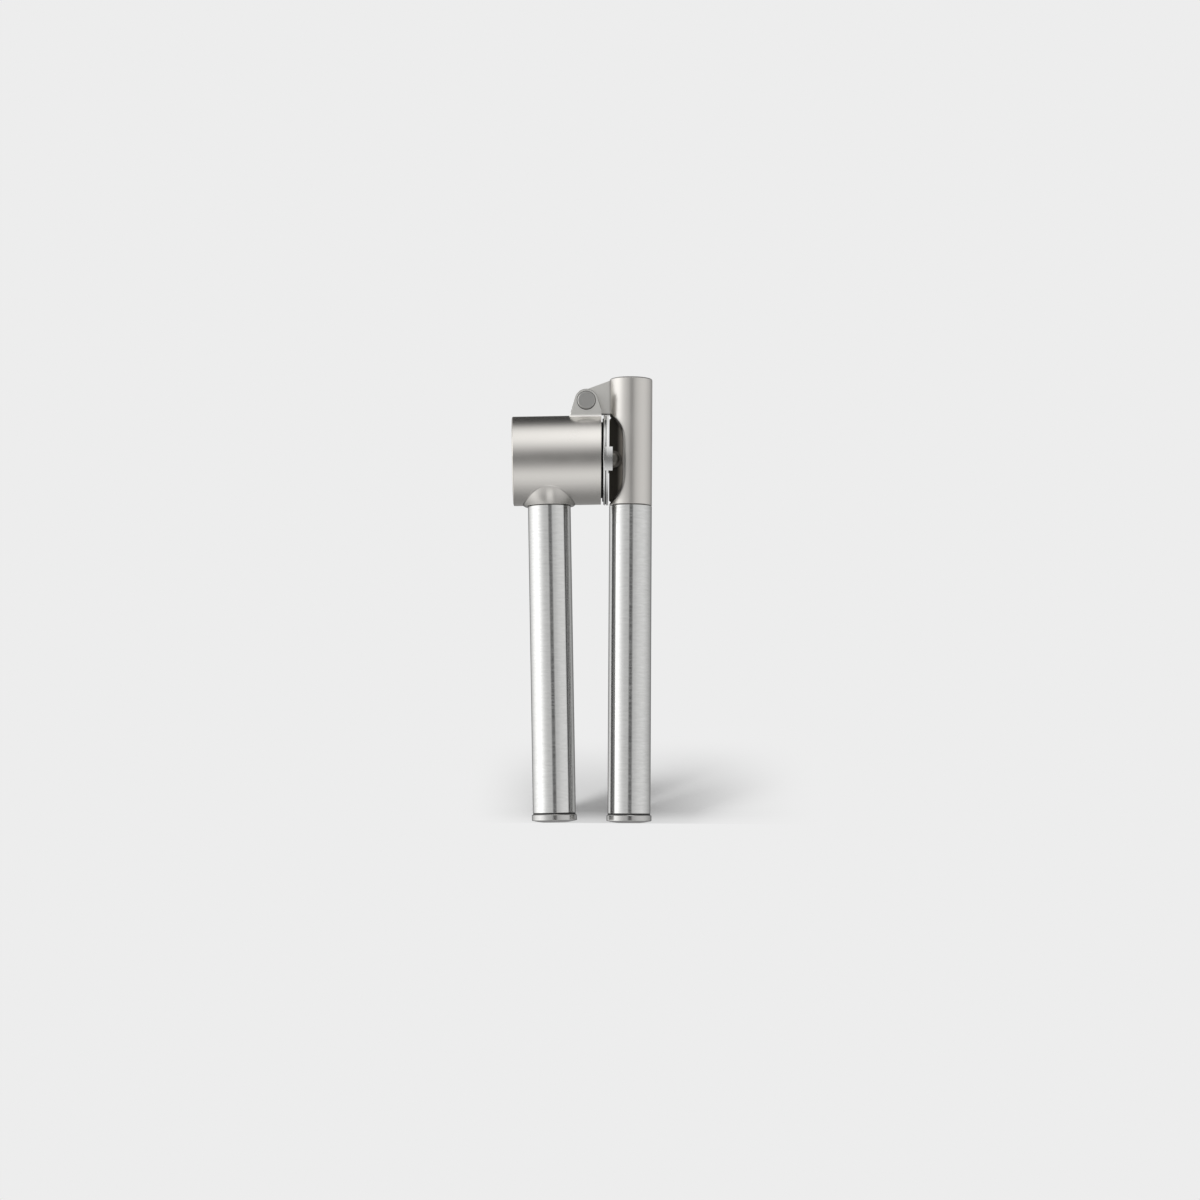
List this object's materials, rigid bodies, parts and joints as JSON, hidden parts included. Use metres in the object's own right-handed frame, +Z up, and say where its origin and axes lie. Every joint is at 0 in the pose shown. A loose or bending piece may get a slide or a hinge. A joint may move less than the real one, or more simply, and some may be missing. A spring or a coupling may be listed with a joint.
{
  "type": "garlic press",
  "caption": "Stainless steel garlic press: a lever with a tubular handle hinged to a round chamber on a matching handle, with a lift-out sieve cup and a rocking plunger.",
  "frame": {"origin": "on the surface that the handle ends stand on, at the middle of the overall box", "axes": "+Z up along the handles to the hinge, +X from the chamber's outlet to the lever, +Y along the hinge pin"},
  "size_m": [0.0546, 0.035, 0.1717],
  "materials": {
    "cast_steel": "satin bead-blasted casting",
    "tube_steel": "fine brushed, glossy",
    "cap_steel": "turned and polished",
    "rod_steel": "drawn",
    "pin_steel": "turned",
    "sheet_steel": "drawn and polished",
    "plate_steel": "satin",
    "bearing_plastic": "satin",
    "black_rubber": "matte"
  },
  "bodies": {
    "lever": {"lever_head": "cast_steel", "lever_handle_tube": "tube_steel", "lever_handle_tie_rod": "rod_steel", "lever_handle_gasket": "black_rubber", "lever_handle_end_cap": "cap_steel", "hinge_bush": "bearing_plastic"},
    "chamber": {"chamber_body": "cast_steel", "chamber_handle_tube": "tube_steel", "chamber_handle_tie_rod": "rod_steel", "chamber_handle_gasket": "black_rubber", "chamber_handle_end_cap": "cap_steel", "hinge_pin": "pin_steel", "hinge_pin_cap": "pin_steel", "hinge_washer_front": "bearing_plastic", "hinge_washer_rear": "bearing_plastic"},
    "sieve": {"sieve_insert": "sheet_steel"},
    "plunger": {"plunger_plate": "plate_steel", "plunger_bracket": "sheet_steel", "plunger_pivot_rivet": "pin_steel", "plunger_plate_rivets": "pin_steel"}
  },
  "joints": [
    {"name": "main_pivot", "type": "hinge", "parent": "lever", "child": "chamber", "pos_m": [0.00139, 0, 0.1625], "axis": [0, 1, 0], "range_deg": [0, 150]},
    {"name": "plunger_rock", "type": "hinge", "parent": "lever", "child": "plunger", "pos_m": [0.01189, 0, 0.1401], "axis": [0, 1, 0], "range_deg": [-2, 2]},
    {"name": "sieve_slide", "type": "slide", "parent": "chamber", "child": "sieve", "axis": [1, 0, 0], "range_m": [-0.0004, 0.0004]}
  ]
}
